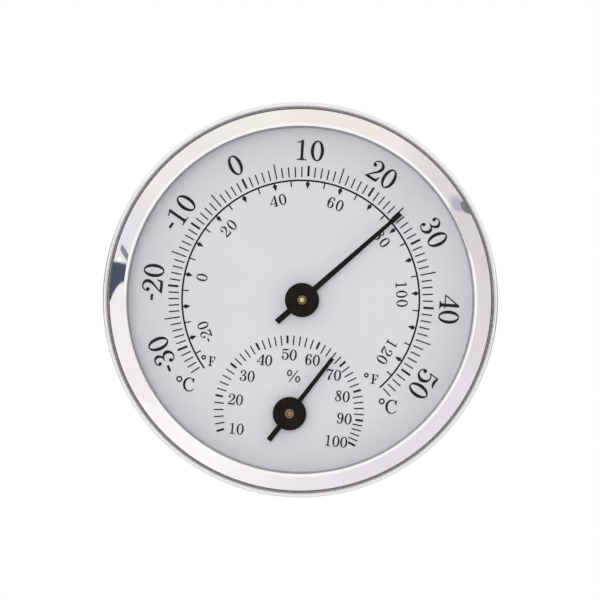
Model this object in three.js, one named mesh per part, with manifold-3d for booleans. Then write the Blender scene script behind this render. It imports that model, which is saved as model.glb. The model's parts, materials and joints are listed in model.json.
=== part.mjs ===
// A round thermo-hygrometer: a temperature dial and a humidity dial behind one lens.
// Millimetres, +Z up. The dial axis is Y and the dial faces -Y. The wall is the plane Y = 0,
// and every depth below is a distance in front of the wall. X = 0, Z = 0 is the case's axis.
import * as THREE from "three";
import { mergeVertices } from "three/addons/utils/BufferGeometryUtils.js";
import Module from "manifold-3d";

const wasm = await Module();
wasm.setup();

// Driving dimensions.

const BEZEL_RADIUS = 50.5;
const CASE_RADIUS = 48.6;
const COLLAR_RADIUS = 47.3;
const CASE_INNER_RADIUS = 46.4;
const STACK_RADIUS = 46.1;
const SPACER_BORE = 44.1;
const LIP_BORE = 44.4;

// Depths of the stack, from the wall to the front.
const FLOOR = 2.2;
const BEZEL_BACK = 8.3;
const PLATE = { back: 11.7, front: 12.9 };
const DIAL = { back: 13.0, front: 13.4 };
const SPACER = { back: 13.5, front: 18.4 };
const GASKET = { back: 18.5, front: 18.9 };
const LENS = { back: 19.0, front: 20.6 };
const TOTAL_DEPTH = 22.0;
const FACE_GAP = 0.1;

// The arbors, their pointers' rest readings (clockwise from up) and their pointers' depths.
const ARBOR_X = 0.4;
const ARBOR_SPACING = 29.3;
const ARBOR_RADIUS = 0.75;
const BORE_RADIUS = 0.85;

// Screws.
const SCREW_RADIUS = 1.0;
const SCREW_HOLE_RADIUS = 1.15;
const PLATE_SCREW_CIRCLE = 38.2;
const PLATE_SCREW_ANGLES = [45, 135, 225, 315];

// The stand leg, folded into a pocket in the back.
const POCKET = { halfWidth: 8.4, depth: 3.1, top: -6, bottom: -43, corner: 4.4, wall: 1.5 };
const LEG = { halfWidth: 8.0, back: 0.3, front: 2.7, tip: -42.6, corner: 4 };
const HINGE = { z: -8, depth: 1.6, barrelRadius: 1.3, pinRadius: 0.6, holeRadius: 0.7 };
const HINGE_PIN_HALF_LENGTH = 9.5;

// The keyhole in the back.
const KEYHOLE = { headZ: 31.5, headRadius: 4.2, slotHalfWidth: 2.4, slotTop: 40.0 };

const FINE = 64;
const MEDIUM = 48;
const SMALL = 16;
const DEGREE = Math.PI / 180;

// Finishes.

const CHROME = { color: 0xf2f1ee, roughness: 0.08, metalness: 1 };
const CLEAR = { color: 0xffffff, roughness: 0.02, metalness: 0, transparent: true, opacity: 0.15 };
const RUBBER = { color: 0x2b2b2d, roughness: 0.8, metalness: 0 };
const WHITE_PLASTIC = { color: 0xe9e9ea, roughness: 0.45, metalness: 0 };
const DIAL_PAINT = { color: 0xd8d9dc, roughness: 0.6, metalness: 0 };
const BLACK_PAINT = { color: 0x0c0c0d, roughness: 0.55, metalness: 0 };
const STEEL = { color: 0xb8b9bb, roughness: 0.35, metalness: 1 };
const BRASS = { color: 0xb8964f, roughness: 0.3, metalness: 1 };
const BIMETAL = { color: 0xa89f8c, roughness: 0.4, metalness: 1 };
const HYGRO_STRIP = { color: 0xb07f52, roughness: 0.7, metalness: 0 };

const object = new THREE.Group();

// Helpers.

function add(parent, name, geometry, finish) {
  const mesh = new THREE.Mesh(geometry, new THREE.MeshStandardMaterial(finish));
  mesh.name = name;
  parent.add(mesh);
}

// Twice the signed area of a closed outline, positive when it runs anticlockwise.
function signedArea(points) {
  return points.reduce((sum, p, i) => {
    const next = points[(i + 1) % points.length];
    return sum + p.x * next.y - next.x * p.y;
  }, 0);
}

// An outline of [radius, depth] pairs turned about the Y axis. A solid one starts and ends at
// radius 0, and a ring closes on itself.
function turned(outline, segments = SMALL) {
  const points = outline.map(([radius, depth]) => new THREE.Vector2(radius, -depth));
  if (signedArea(points) < 0) points.reverse();
  if (points[0].x > 0) points.push(points[0].clone());
  return new THREE.LatheGeometry(points, segments);
}

// A ring of square section.
function ring(inner, outer, back, front, segments = SMALL) {
  return turned([[inner, back], [outer, back], [outer, front], [inner, front]], segments);
}

// A straight rod along the depth.
function rod(radius, back, front, x = 0, z = 0, segments = SMALL) {
  const geometry = new THREE.CylinderGeometry(radius, radius, front - back, segments);
  return geometry.translate(x, -(back + front) / 2, z);
}

// A straight rod along X.
function crossRod(radius, halfLength, depth, z, segments = SMALL) {
  const geometry = new THREE.CylinderGeometry(radius, radius, 2 * halfLength, segments);
  return geometry.rotateZ(Math.PI / 2).translate(0, -depth, z);
}

// A box between two x, two depths and two z.
function block([x0, x1], [back, front], [z0, z1]) {
  const geometry = new THREE.BoxGeometry(x1 - x0, front - back, z1 - z0);
  return geometry.translate((x0 + x1) / 2, -(back + front) / 2, (z0 + z1) / 2);
}

// A flat plate between two depths, from an outline seen from the front.
function plate(shape, back, front, curveSegments = 8) {
  const options = { depth: front - back, bevelEnabled: false, curveSegments };
  return new THREE.ExtrudeGeometry(shape, options).rotateX(Math.PI / 2).translate(0, -back, 0);
}

function solid(geometry) {
  const bare = geometry.clone();
  bare.deleteAttribute("normal");
  bare.deleteAttribute("uv");
  const merged = mergeVertices(bare, 1e-4);
  return new wasm.Manifold(
    new wasm.Mesh({
      numProp: 3,
      vertProperties: merged.attributes.position.array,
      triVerts: new Uint32Array(merged.index.array),
    }),
  );
}

function geometryOf(manifold) {
  const mesh = manifold.getMesh();
  const geometry = new THREE.BufferGeometry();
  geometry.setAttribute("position", new THREE.BufferAttribute(mesh.vertProperties, 3));
  geometry.setIndex(new THREE.BufferAttribute(mesh.triVerts, 1));
  return geometry.toNonIndexed();
}

// Joins the first list and cuts away the second.
function shaped(joined, removed = []) {
  let body = solid(joined[0]);
  for (const piece of joined.slice(1)) body = body.add(solid(piece));
  for (const piece of removed) body = body.subtract(solid(piece));
  return geometryOf(body);
}

function onCircle(radius, degrees) {
  return [radius * Math.sin(degrees * DEGREE), radius * Math.cos(degrees * DEGREE)];
}

// Bezel: lip, conical polished band, dark line, rounded bead, tapered skirt with a snap groove,
// and the step that the lens lies in.

const SNAP_DEPTH = 15;

function bezelOutline() {
  return [
    [LIP_BORE, LENS.front + FACE_GAP],
    [LIP_BORE, 21.45],
    [LIP_BORE + 0.15, 21.7],
    [LIP_BORE + 0.45, 21.7],
    [LIP_BORE + 0.6, 21.5],
    [LIP_BORE + 0.8, TOTAL_DEPTH],
    [48.7, 21.0],
    [49.05, 20.5],
    [49.3, 20.8],
    [49.75, 20.95],
    [50.2, 20.7],
    [BEZEL_RADIUS, 20.1],
    [BEZEL_RADIUS, 18.5],
    [BEZEL_RADIUS - 0.6, BEZEL_BACK],
    [COLLAR_RADIUS + 0.3, BEZEL_BACK],
    [COLLAR_RADIUS + 0.3, SNAP_DEPTH - 1.1],
    [COLLAR_RADIUS + 0.8, SNAP_DEPTH - 0.6],
    [COLLAR_RADIUS + 0.8, SNAP_DEPTH + 0.6],
    [COLLAR_RADIUS + 0.3, SNAP_DEPTH + 1.1],
    [COLLAR_RADIUS + 0.3, GASKET.front],
    [STACK_RADIUS + 0.3, GASKET.front],
    [STACK_RADIUS + 0.3, LENS.front + FACE_GAP],
  ];
}

// Rear case: a pan with a rounded back edge and a collar that the bezel snaps over, with a
// pocket for the stand leg, four screw posts, a keyhole and air slots.

const REAR_EDGE = 2.0;
const REAR_EDGE_STEPS = 4;
const POST_RADIUS = 3.0;
const POST_HOLE_BACK = 4.0;
const SLOT_HALF_WIDTH = 1.2;
const BACK_SLOT = { inner: 20, outer: 33, angles: [60, 75, 90, 105, 120] };
const SIDE_SLOT = { back: 3.6, front: 6.8, first: 140, step: 10, count: 9 };

function caseOutline() {
  const outline = [[0, 0]];
  for (let i = 0; i <= REAR_EDGE_STEPS; i++) {
    const turn = (i / REAR_EDGE_STEPS) * (Math.PI / 2);
    outline.push([
      CASE_RADIUS - REAR_EDGE + REAR_EDGE * Math.sin(turn),
      REAR_EDGE - REAR_EDGE * Math.cos(turn),
    ]);
  }
  outline.push(
    [CASE_RADIUS, BEZEL_BACK - 0.3],
    [COLLAR_RADIUS, BEZEL_BACK - 0.3],
    [COLLAR_RADIUS, SNAP_DEPTH - 0.6],
    [COLLAR_RADIUS + 0.45, SNAP_DEPTH],
    [COLLAR_RADIUS, SNAP_DEPTH + 0.6],
    [COLLAR_RADIUS, SPACER.front],
    [CASE_INNER_RADIUS, SPACER.front],
    [CASE_INNER_RADIUS, FLOOR],
    [0, FLOOR],
  );
  return outline;
}

function roundEndedSlot(innerRadius, outerRadius, degrees) {
  const shape = new THREE.Shape();
  shape.absarc(0, outerRadius - SLOT_HALF_WIDTH, SLOT_HALF_WIDTH, 0, Math.PI, false);
  shape.absarc(0, innerRadius + SLOT_HALF_WIDTH, SLOT_HALF_WIDTH, Math.PI, 2 * Math.PI, false);
  return plate(shape, -1, FLOOR + 1, 5).rotateY(degrees * DEGREE);
}

// The outline shared by the stand leg and its pocket: square at the top, round at the tip.
function legOutline(halfWidth, top, bottom, corner) {
  const shape = new THREE.Shape();
  shape.moveTo(-halfWidth, top);
  shape.lineTo(-halfWidth, bottom + corner);
  shape.absarc(-halfWidth + corner, bottom + corner, corner, Math.PI, 1.5 * Math.PI, false);
  shape.absarc(halfWidth - corner, bottom + corner, corner, 1.5 * Math.PI, 2 * Math.PI, false);
  shape.lineTo(halfWidth, top);
  return shape;
}

function rearCase() {
  const { halfWidth, depth, top, bottom, corner, wall } = POCKET;
  const joined = [
    turned(caseOutline(), FINE),
    block([-halfWidth - wall, halfWidth + wall], [1, depth + wall - 0.1], [bottom - wall, top + wall]),
  ];
  const removed = [
    plate(legOutline(halfWidth, top, bottom, corner), -1, depth, 4),
    crossRod(HINGE.holeRadius, HINGE_PIN_HALF_LENGTH + 0.1, HINGE.depth, HINGE.z, 16),
    rod(KEYHOLE.headRadius, -1, FLOOR + 1, 0, KEYHOLE.headZ),
    block([-KEYHOLE.slotHalfWidth, KEYHOLE.slotHalfWidth], [-1, FLOOR + 1],
      [KEYHOLE.headZ, KEYHOLE.slotTop - KEYHOLE.slotHalfWidth]),
    rod(KEYHOLE.slotHalfWidth, -1, FLOOR + 1, 0, KEYHOLE.slotTop - KEYHOLE.slotHalfWidth),
  ];
  for (const degrees of PLATE_SCREW_ANGLES) {
    const [x, z] = onCircle(PLATE_SCREW_CIRCLE, degrees);
    joined.push(rod(POST_RADIUS, 1, PLATE.back - FACE_GAP, x, z, 16));
    removed.push(rod(SCREW_RADIUS + 0.1, POST_HOLE_BACK, PLATE.back + 1, x, z, 16));
  }
  for (const degrees of BACK_SLOT.angles) {
    removed.push(roundEndedSlot(BACK_SLOT.inner, BACK_SLOT.outer, degrees));
    removed.push(roundEndedSlot(BACK_SLOT.inner, BACK_SLOT.outer, -degrees));
  }
  for (let i = 0; i < SIDE_SLOT.count; i++) {
    const slot = block([-SLOT_HALF_WIDTH, SLOT_HALF_WIDTH], [SIDE_SLOT.back, SIDE_SLOT.front],
      [CASE_INNER_RADIUS - 0.4, CASE_RADIUS + 1]);
    removed.push(slot.rotateY((SIDE_SLOT.first + i * SIDE_SLOT.step) * DEGREE));
  }
  return shaped(joined, removed);
}

// Stand leg: a rounded plate with a barrel for the pin and a nail groove near the tip.

function standLeg() {
  const { halfWidth, back, front, tip, corner } = LEG;
  const blade = plate(legOutline(halfWidth, HINGE.z, tip, corner), back, front, 4);
  return shaped(
    [blade, crossRod(HINGE.barrelRadius, halfWidth, HINGE.depth, HINGE.z)],
    [
      crossRod(HINGE.holeRadius, halfWidth + 1, HINGE.depth, HINGE.z, 16),
      block([-5, 5], [back - 1, back + 0.9], [tip + 2.4, tip + 4.0]),
      block([-5, 5], [back - 1, back + 0.8], [tip + 9, HINGE.z - 6]),
    ],
  );
}

// Screws. Both kinds have a straight slot in the head.

function countersunkScrew(headFront, tip) {
  const outline = [
    [0, headFront],
    [2.0, headFront],
    [SCREW_RADIUS, headFront - 1.0],
    [SCREW_RADIUS, tip + 0.8],
    [0, tip],
  ];
  const slot = block([-2.5, 2.5], [headFront - 0.45, headFront + 1], [-0.25, 0.25]);
  return shaped([turned(outline, 16)], [slot]);
}

function panHeadScrew(headBack, tip) {
  const outline = [
    [0, headBack],
    [1.3, headBack],
    [1.8, headBack + 0.4],
    [1.8, headBack + 1.1],
    [SCREW_RADIUS, headBack + 1.1],
    [SCREW_RADIUS, tip],
    [0, tip],
  ];
  const slot = block([-2.5, 2.5], [headBack - 1, headBack + 0.55], [-0.25, 0.25]);
  return shaped([turned(outline, 16)], [slot]);
}

// Movement parts, each built about its own arbor at X = 0, Z = 0.

const BRIDGE = { back: 4.9, front: 5.7 };
const FRAME = { legX: 14, footX: 20.5, halfWidth: 3.5, thickness: 0.8, screwX: 17.4, bend: 0.7 };
const BUSH = { sleeve: 1.5, flange: 2.6, journal: 1.9, boreBack: 5.3, front: 7.4 };
const REGULATOR = { back: 6.35, front: 6.95, bore: 2.0, radius: 3.4, halfWidth: 1.6, tail: -7 };
const COIL = { back: 7.5, front: 10.1, innerRadius: 2.3, outerRadius: 10.3 };
const POST = { inner: 10.7, outer: 11.9, front: 10.4 };
const RIVET = { radius: 0.45, hole: 0.55, head: 0.85, headHeight: 0.4 };
const COLLET = { back: 7.55, front: 10.05, radius: 1.9 };
const FRONT_BUSH = { back: 10.9, front: 12.8, sleeve: 1.6, flange: 2.6 };

// A strip bent into feet, legs and a bridge, drawn from above and extruded along Z.
function movementFrame() {
  const { legX, footX, halfWidth, thickness, screwX, bend } = FRAME;
  const footFront = PLATE.back - FACE_GAP;
  const half = [
    [legX - bend, BRIDGE.back],
    [legX, BRIDGE.back + bend],
    [legX, footFront - thickness],
    [footX, footFront - thickness],
    [footX, footFront],
    [legX - thickness, footFront],
    [legX - thickness, BRIDGE.front],
  ];
  const outline = [
    ...half.map(([x, depth]) => new THREE.Vector2(x, -depth)),
    ...half.toReversed().map(([x, depth]) => new THREE.Vector2(-x, -depth)),
  ];
  const options = { depth: 2 * halfWidth, bevelEnabled: false };
  const strip = new THREE.ExtrudeGeometry(new THREE.Shape(outline), options);
  strip.translate(0, 0, -halfWidth);
  return shaped(
    [strip],
    [
      rod(BUSH.sleeve + FACE_GAP, 0, 9),
      rod(SCREW_HOLE_RADIUS, 9, 13, screwX, 0, 16),
      rod(SCREW_HOLE_RADIUS, 9, 13, -screwX, 0, 16),
    ],
  );
}

// The rear bush has a blind bore for the arbor's end and a journal that the regulator turns on.
function rearBush() {
  return turned([
    [0, BRIDGE.back],
    [BUSH.sleeve, BRIDGE.back],
    [BUSH.sleeve, BRIDGE.front + FACE_GAP],
    [BUSH.flange, BRIDGE.front + FACE_GAP],
    [BUSH.flange, REGULATOR.back - 0.15],
    [BUSH.journal, REGULATOR.back - 0.15],
    [BUSH.journal, BUSH.front],
    [BORE_RADIUS, BUSH.front],
    [BORE_RADIUS, BUSH.boreBack],
    [0, BUSH.boreBack],
  ]);
}

function frontBush() {
  return turned([
    [BORE_RADIUS, FRONT_BUSH.back],
    [FRONT_BUSH.flange, FRONT_BUSH.back],
    [FRONT_BUSH.flange, PLATE.back - FACE_GAP],
    [FRONT_BUSH.sleeve, PLATE.back - FACE_GAP],
    [FRONT_BUSH.sleeve, FRONT_BUSH.front],
    [BORE_RADIUS, FRONT_BUSH.front],
  ]);
}

// A rod through the post, pointing away from the arbor.
function radialRod(radius, from, to, depth) {
  const geometry = new THREE.CylinderGeometry(radius, radius, to - from, 12);
  return geometry.rotateX(Math.PI / 2).translate(0, -depth, (from + to) / 2);
}

const COIL_MIDDLE = (COIL.back + COIL.front) / 2;

function regulator() {
  const { back, front, bore, radius, halfWidth, tail } = REGULATOR;
  return shaped(
    [
      rod(radius, back, front),
      block([-halfWidth, halfWidth], [back, front], [0, POST.outer]),
      block([-0.8, 0.8], [back, front], [tail, 0]),
      block([-halfWidth, halfWidth], [back, POST.front], [POST.inner, POST.outer]),
    ],
    [
      rod(bore, back - 1, front + 1),
      radialRod(RIVET.hole, POST.inner - 1, POST.outer + 1, COIL_MIDDLE),
    ],
  );
}

// A spiral strip from the collet out to the post, where the rivet's hole is.
function coil(turns, thickness) {
  const endAngle = 10 * DEGREE;
  const steps = Math.round(turns * 18);
  const edge = (offset) =>
    Array.from({ length: steps + 1 }, (_, i) => {
      const t = i / steps;
      const angle = endAngle - (1 - t) * turns * 2 * Math.PI;
      const radius = COIL.innerRadius + t * (COIL.outerRadius - COIL.innerRadius) + offset;
      return new THREE.Vector2(radius * Math.sin(angle), radius * Math.cos(angle));
    });
  const outline = [...edge(thickness / 2), ...edge(-thickness / 2).reverse()];
  const hole = radialRod(RIVET.hole, COIL.outerRadius - 0.6, COIL.outerRadius + 1, COIL_MIDDLE);
  return shaped([plate(new THREE.Shape(outline), COIL.back, COIL.front)], [hole]);
}

// The rivet clamps the strip, whose inner face is at stripInner, to the post.
function coilRivet(stripInner) {
  const { radius, head, headHeight } = RIVET;
  const inner = stripInner - FACE_GAP;
  const outer = POST.outer + FACE_GAP;
  return shaped([
    radialRod(radius, inner - headHeight / 2, outer + headHeight / 2, COIL_MIDDLE),
    radialRod(head, inner - headHeight, inner, COIL_MIDDLE),
    radialRod(head, outer, outer + headHeight, COIL_MIDDLE),
  ]);
}

// The arbor's front end has a small centre dimple.
function arbor(front) {
  const back = BUSH.boreBack + FACE_GAP;
  return turned([
    [0, back],
    [ARBOR_RADIUS, back],
    [ARBOR_RADIUS, front - 0.1],
    [ARBOR_RADIUS - 0.1, front],
    [0.25, front],
    [0, front - 0.2],
  ]);
}

const POINTER_THICKNESS = 0.4;
const BOSS = { radius: 1.1, flange: 2.0, below: 1.1, above: 0.65 };

// A boss fixed on the arbor. The pointer's hub disc lies on its flange.
function pointerBoss(pointerBack) {
  const front = pointerBack + POINTER_THICKNESS + BOSS.above;
  return turned([
    [BORE_RADIUS, pointerBack - BOSS.below],
    [1.5, pointerBack - BOSS.below],
    [1.5, pointerBack - 0.6],
    [BOSS.flange, pointerBack - 0.6],
    [BOSS.flange, pointerBack - FACE_GAP],
    [BOSS.radius, pointerBack - FACE_GAP],
    [BOSS.radius, front],
    [BORE_RADIUS, front],
  ]);
}

// A stamped pointer, drawn pointing up: tail, hub disc, tapered blade and a slightly wider tip.
function pointer(form, back) {
  const { hub, length, tail, tailHalf, bladeHalf, neckHalf, neck, tipHalf } = form;
  const shape = new THREE.Shape();
  const bladeRoot = Math.sqrt(hub ** 2 - bladeHalf ** 2);
  const tailRoot = Math.sqrt(hub ** 2 - tailHalf ** 2);
  const bladeAngle = Math.atan2(bladeRoot, bladeHalf);
  const tailAngle = Math.atan2(tailRoot, tailHalf);
  shape.moveTo(tailHalf, -tail);
  shape.lineTo(tailHalf, -tailRoot);
  shape.absarc(0, 0, hub, -tailAngle, bladeAngle, false);
  shape.lineTo(neckHalf, neck);
  shape.lineTo(tipHalf, neck + 0.3);
  shape.lineTo(tipHalf, length);
  shape.lineTo(-tipHalf, length);
  shape.lineTo(-tipHalf, neck + 0.3);
  shape.lineTo(-neckHalf, neck);
  shape.absarc(0, 0, hub, Math.PI - bladeAngle, Math.PI + tailAngle, false);
  shape.lineTo(-tailHalf, -tail);
  const hole = new THREE.Path();
  hole.absarc(0, 0, BOSS.radius + FACE_GAP, 0, 2 * Math.PI, true);
  shape.holes.push(hole);
  return plate(shape, back, back + POINTER_THICKNESS, 10);
}

// One movement: everything from the frame behind the movement plate to the pointer in front of
// the dial. Only the pointer's group is turned, to the reading at rest.
function movement(name, z, spec) {
  const group = new THREE.Group();
  group.position.set(ARBOR_X, 0, z);
  object.add(group);
  add(group, `${name}_frame`, movementFrame(), STEEL);
  for (const [i, side] of [-1, 1].entries()) {
    const footBack = PLATE.back - FACE_GAP - FRAME.thickness;
    const screw = panHeadScrew(footBack - 1.2, PLATE.front - 0.1);
    add(group, `${name}_frame_screw_${i + 1}`, screw.translate(side * FRAME.screwX, 0, 0), STEEL);
  }
  add(group, `${name}_rear_bush`, rearBush(), BRASS);
  add(group, `${name}_front_bush`, frontBush(), BRASS);
  add(group, `${name}_regulator`, regulator(), BRASS);
  add(group, `${name}_coil`, coil(spec.turns, spec.strip), spec.coilFinish);
  add(group, `${name}_coil_rivet`, coilRivet(COIL.outerRadius - spec.strip / 2 - 0.15), BRASS);

  const hand = new THREE.Group();
  hand.rotation.y = spec.reading * DEGREE;
  group.add(hand);
  const arborFront = spec.pointerBack + POINTER_THICKNESS + BOSS.above - 0.1;
  add(hand, `${name}_collet`, ring(BORE_RADIUS, COLLET.radius, COLLET.back, COLLET.front), BRASS);
  add(hand, `${name}_arbor`, arbor(arborFront), BRASS);
  add(hand, `${name}_pointer_boss`, pointerBoss(spec.pointerBack), BRASS);
  add(hand, `${name}_pointer`, pointer(spec.form, spec.pointerBack), BLACK_PAINT);
}

// Case.

add(object, "bezel_ring", turned(bezelOutline(), FINE), CHROME);
add(object, "lens", rod(STACK_RADIUS, LENS.back, LENS.front, 0, 0, MEDIUM), CLEAR);
add(object, "lens_gasket", ring(45, STACK_RADIUS, GASKET.back, GASKET.front, MEDIUM), RUBBER);
const spacer = ring(SPACER_BORE, STACK_RADIUS, SPACER.back, SPACER.front, MEDIUM);
add(object, "spacer_ring", spacer, WHITE_PLASTIC);
add(object, "rear_case", rearCase(), WHITE_PLASTIC);
add(object, "stand_leg", standLeg(), WHITE_PLASTIC);
const pin = crossRod(HINGE.pinRadius, HINGE_PIN_HALF_LENGTH, HINGE.depth, HINGE.z, 16);
add(object, "stand_pin", pin, STEEL);

// Dial and movement plate, both with a hole for each arbor, and the plate with its screw holes.

const ARBOR_HOLE_RADIUS = FRONT_BUSH.sleeve + FACE_GAP;
const arborHeights = [0, -ARBOR_SPACING];
const throughHoles = (radius) =>
  arborHeights.map((z) => rod(radius, 10, 15, ARBOR_X, z));

const dialDisc = rod(STACK_RADIUS, DIAL.back, DIAL.front, 0, 0, MEDIUM);
add(object, "dial_plate", shaped([dialDisc], throughHoles(ARBOR_HOLE_RADIUS)), DIAL_PAINT);

const plateHoles = throughHoles(ARBOR_HOLE_RADIUS);
for (const z of arborHeights) {
  for (const side of [-1, 1]) {
    plateHoles.push(rod(SCREW_HOLE_RADIUS, 10, 15, ARBOR_X + side * FRAME.screwX, z, 16));
  }
}
PLATE_SCREW_ANGLES.forEach((degrees, i) => {
  const [x, z] = onCircle(PLATE_SCREW_CIRCLE, degrees);
  const seat = turned(
    [[0, 10], [SCREW_HOLE_RADIUS, 10], [SCREW_HOLE_RADIUS, 11.95], [2.25, 13.05], [0, 13.05]],
    16,
  );
  plateHoles.push(seat.translate(x, 0, z));
  const screw = countersunkScrew(PLATE.front - 0.05, POST_HOLE_BACK + 0.4);
  add(object, `plate_screw_${i + 1}`, screw.translate(x, 0, z), STEEL);
});
const plateDisc = rod(STACK_RADIUS, PLATE.back, PLATE.front, 0, 0, MEDIUM);
add(object, "movement_plate", shaped([plateDisc], plateHoles), STEEL);

movement("temperature", 0, {
  reading: 42.5,
  turns: 5,
  strip: 0.35,
  coilFinish: BIMETAL,
  pointerBack: 16.9,
  form: {
    hub: 4.4,
    length: 33.6,
    tail: 8.6,
    tailHalf: 0.78,
    bladeHalf: 0.8,
    neckHalf: 0.5,
    neck: 30.2,
    tipHalf: 0.65,
  },
});

movement("humidity", -ARBOR_SPACING, {
  reading: 31.6,
  turns: 4,
  strip: 0.5,
  coilFinish: HYGRO_STRIP,
  pointerBack: 15.3,
  form: {
    hub: 4.3,
    length: 18.0,
    tail: 8.65,
    tailHalf: 0.69,
    bladeHalf: 0.625,
    neckHalf: 0.52,
    neck: 16.4,
    tipHalf: 0.52,
  },
});

export default object;
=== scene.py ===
import json
import math

import bmesh
import bpy
import numpy as np
from mathutils import Matrix, Vector
from mathutils.geometry import delaunay_2d_cdt

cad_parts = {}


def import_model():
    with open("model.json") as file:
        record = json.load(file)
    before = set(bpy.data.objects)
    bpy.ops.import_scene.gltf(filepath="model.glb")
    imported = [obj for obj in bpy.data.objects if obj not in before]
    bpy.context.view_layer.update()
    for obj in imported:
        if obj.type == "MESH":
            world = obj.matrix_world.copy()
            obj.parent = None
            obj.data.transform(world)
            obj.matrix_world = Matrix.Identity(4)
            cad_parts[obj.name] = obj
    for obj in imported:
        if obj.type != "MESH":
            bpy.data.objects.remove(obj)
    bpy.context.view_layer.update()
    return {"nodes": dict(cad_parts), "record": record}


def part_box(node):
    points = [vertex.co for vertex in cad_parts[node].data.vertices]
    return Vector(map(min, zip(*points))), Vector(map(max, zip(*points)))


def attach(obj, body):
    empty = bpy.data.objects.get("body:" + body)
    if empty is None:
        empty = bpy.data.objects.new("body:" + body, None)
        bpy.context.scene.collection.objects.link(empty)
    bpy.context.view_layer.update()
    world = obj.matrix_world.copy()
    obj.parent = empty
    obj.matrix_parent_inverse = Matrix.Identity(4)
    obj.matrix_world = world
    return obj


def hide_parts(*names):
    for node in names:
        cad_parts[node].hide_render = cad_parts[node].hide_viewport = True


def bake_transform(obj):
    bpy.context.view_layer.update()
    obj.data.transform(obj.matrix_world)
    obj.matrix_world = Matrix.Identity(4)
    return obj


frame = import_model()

# A round thermo-hygrometer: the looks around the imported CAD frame.
# Sizes here are millimetres. A depth is a distance in front of the wall, so y = -depth, and an
# angle round the dial is in degrees clockwise from up, as the dial is read.

MM = 0.001
MOVEMENTS = ("temperature", "humidity")

FINE_SEGMENTS = 288
SMALL_SEGMENTS = 72
ON_AXIS = 1e-6
SAME_POINT = 1e-5


def extent(node):
    """A CAD node's middle (x, z), its back and front depth, and half its width, in mm."""
    low, high = (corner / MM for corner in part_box(node))
    middle = (low + high) / 2
    return (middle.x, middle.z), -high.y, -low.y, (high.x - low.x) / 2


# ---------------------------------------------------------------- materials


class Tree:
    """Short ways to add nodes to self.tree."""

    def add(self, kind, values=(), **settings):
        """A node with its settings made, and its inputs set, or linked to where a socket is given."""
        node = self.tree.nodes.new(kind)
        for key, value in settings.items():
            setattr(node, key, value)
        for key, value in dict(values).items():
            if isinstance(value, bpy.types.NodeSocket):
                self.tree.links.new(value, node.inputs[key])
            else:
                node.inputs[key].default_value = value
        return node

    def ramp(self, factor, tones):
        """The colour along (position, colour) stops, the first at 0 and the last at 1."""
        made = self.add("ShaderNodeValToRGB", {"Fac": factor})
        stops = made.color_ramp.elements
        for position, shade in tones[1:-1]:
            stops.new(position).color = (*shade, 1)
        stops[0].color, stops[-1].color = (*tones[0][1], 1), (*tones[-1][1], 1)
        return made.outputs["Color"]


class Nodes(Tree):
    """A material's node tree, built around one Principled shader."""

    def __init__(self, name):
        self.material = bpy.data.materials.new(name)
        self.material.use_nodes = True
        self.tree = self.material.node_tree
        self.shader = self.tree.nodes["Principled BSDF"]
        self.place = self.add("ShaderNodeTexCoord").outputs["Object"]

    def set(self, **values):
        for key, value in values.items():
            self.shader.inputs[key.replace("_", " ")].default_value = value

    def link(self, socket, name):
        self.tree.links.new(socket, self.shader.inputs[name])

    def noise(self, size, detail=2.0, stretch=(1, 1, 1), rough=0.5):
        """Noise whose features are about `size` mm, drawn out by `stretch` along x, y and z."""
        scale = [1 / (size * MM * s) for s in stretch]
        at = self.add("ShaderNodeMapping", {"Vector": self.place, "Scale": scale})
        values = {"Vector": at.outputs[0], "Scale": 1.0, "Detail": detail, "Roughness": rough}
        return self.add("ShaderNodeTexNoise", values).outputs["Fac"]

    def between(self, factor, low, high, start=0.3, end=0.7):
        """A number that goes from `low` to `high` as the factor goes from start to end."""
        values = {"Value": factor, "From Min": start, "From Max": end, "To Min": low, "To Max": high}
        return self.add("ShaderNodeMapRange", values).outputs["Result"]

    def colours(self, factor, low, high, start=0.3, end=0.7):
        ramp = self.add("ShaderNodeValToRGB", {"Fac": factor})
        first, last = ramp.color_ramp.elements
        first.position, first.color = start, (*low, 1)
        last.position, last.color = end, (*high, 1)
        return ramp.outputs["Color"]

    def multiplied(self, first, second):
        values = {"Factor": 1.0, 6: first, 7: second}
        settings = {"data_type": "RGBA", "blend_type": "MULTIPLY"}
        return self.add("ShaderNodeMix", values, **settings).outputs[2]

    def bump(self, height, depth, strength=1.0, over=None):
        """A bump `depth` mm deep, laid over another bump."""
        values = {"Height": height, "Distance": depth * MM, "Strength": strength}
        if over is not None:
            values["Normal"] = over
        return self.add("ShaderNodeBump", values).outputs["Normal"]

    def cover(self, tint, low, high, grain, rough, depth, strength):
        """Colour that follows one noise, and roughness and a bump that follow another."""
        self.link(self.colours(tint, low, high), "Base Color")
        self.link(self.between(grain, *rough), "Roughness")
        self.link(self.bump(grain, depth, strength), "Normal")


def chrome():
    """Bright plating over moulded plastic: a faint waviness and fine wiping marks."""
    nodes = Nodes("bezel_chrome")
    wave = nodes.noise(9, 1)
    wipe = nodes.noise(0.5, 3, (1, 1, 6))
    nodes.set(Metallic=1.0)
    nodes.link(nodes.colours(wave, (0.93, 0.925, 0.915), (0.97, 0.965, 0.955)), "Base Color")
    nodes.link(nodes.between(wipe, 0.02, 0.045), "Roughness")
    nodes.link(nodes.bump(wipe, 0.001, 0.25, nodes.bump(wave, 0.02, 0.15)), "Normal")
    return nodes.material


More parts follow.
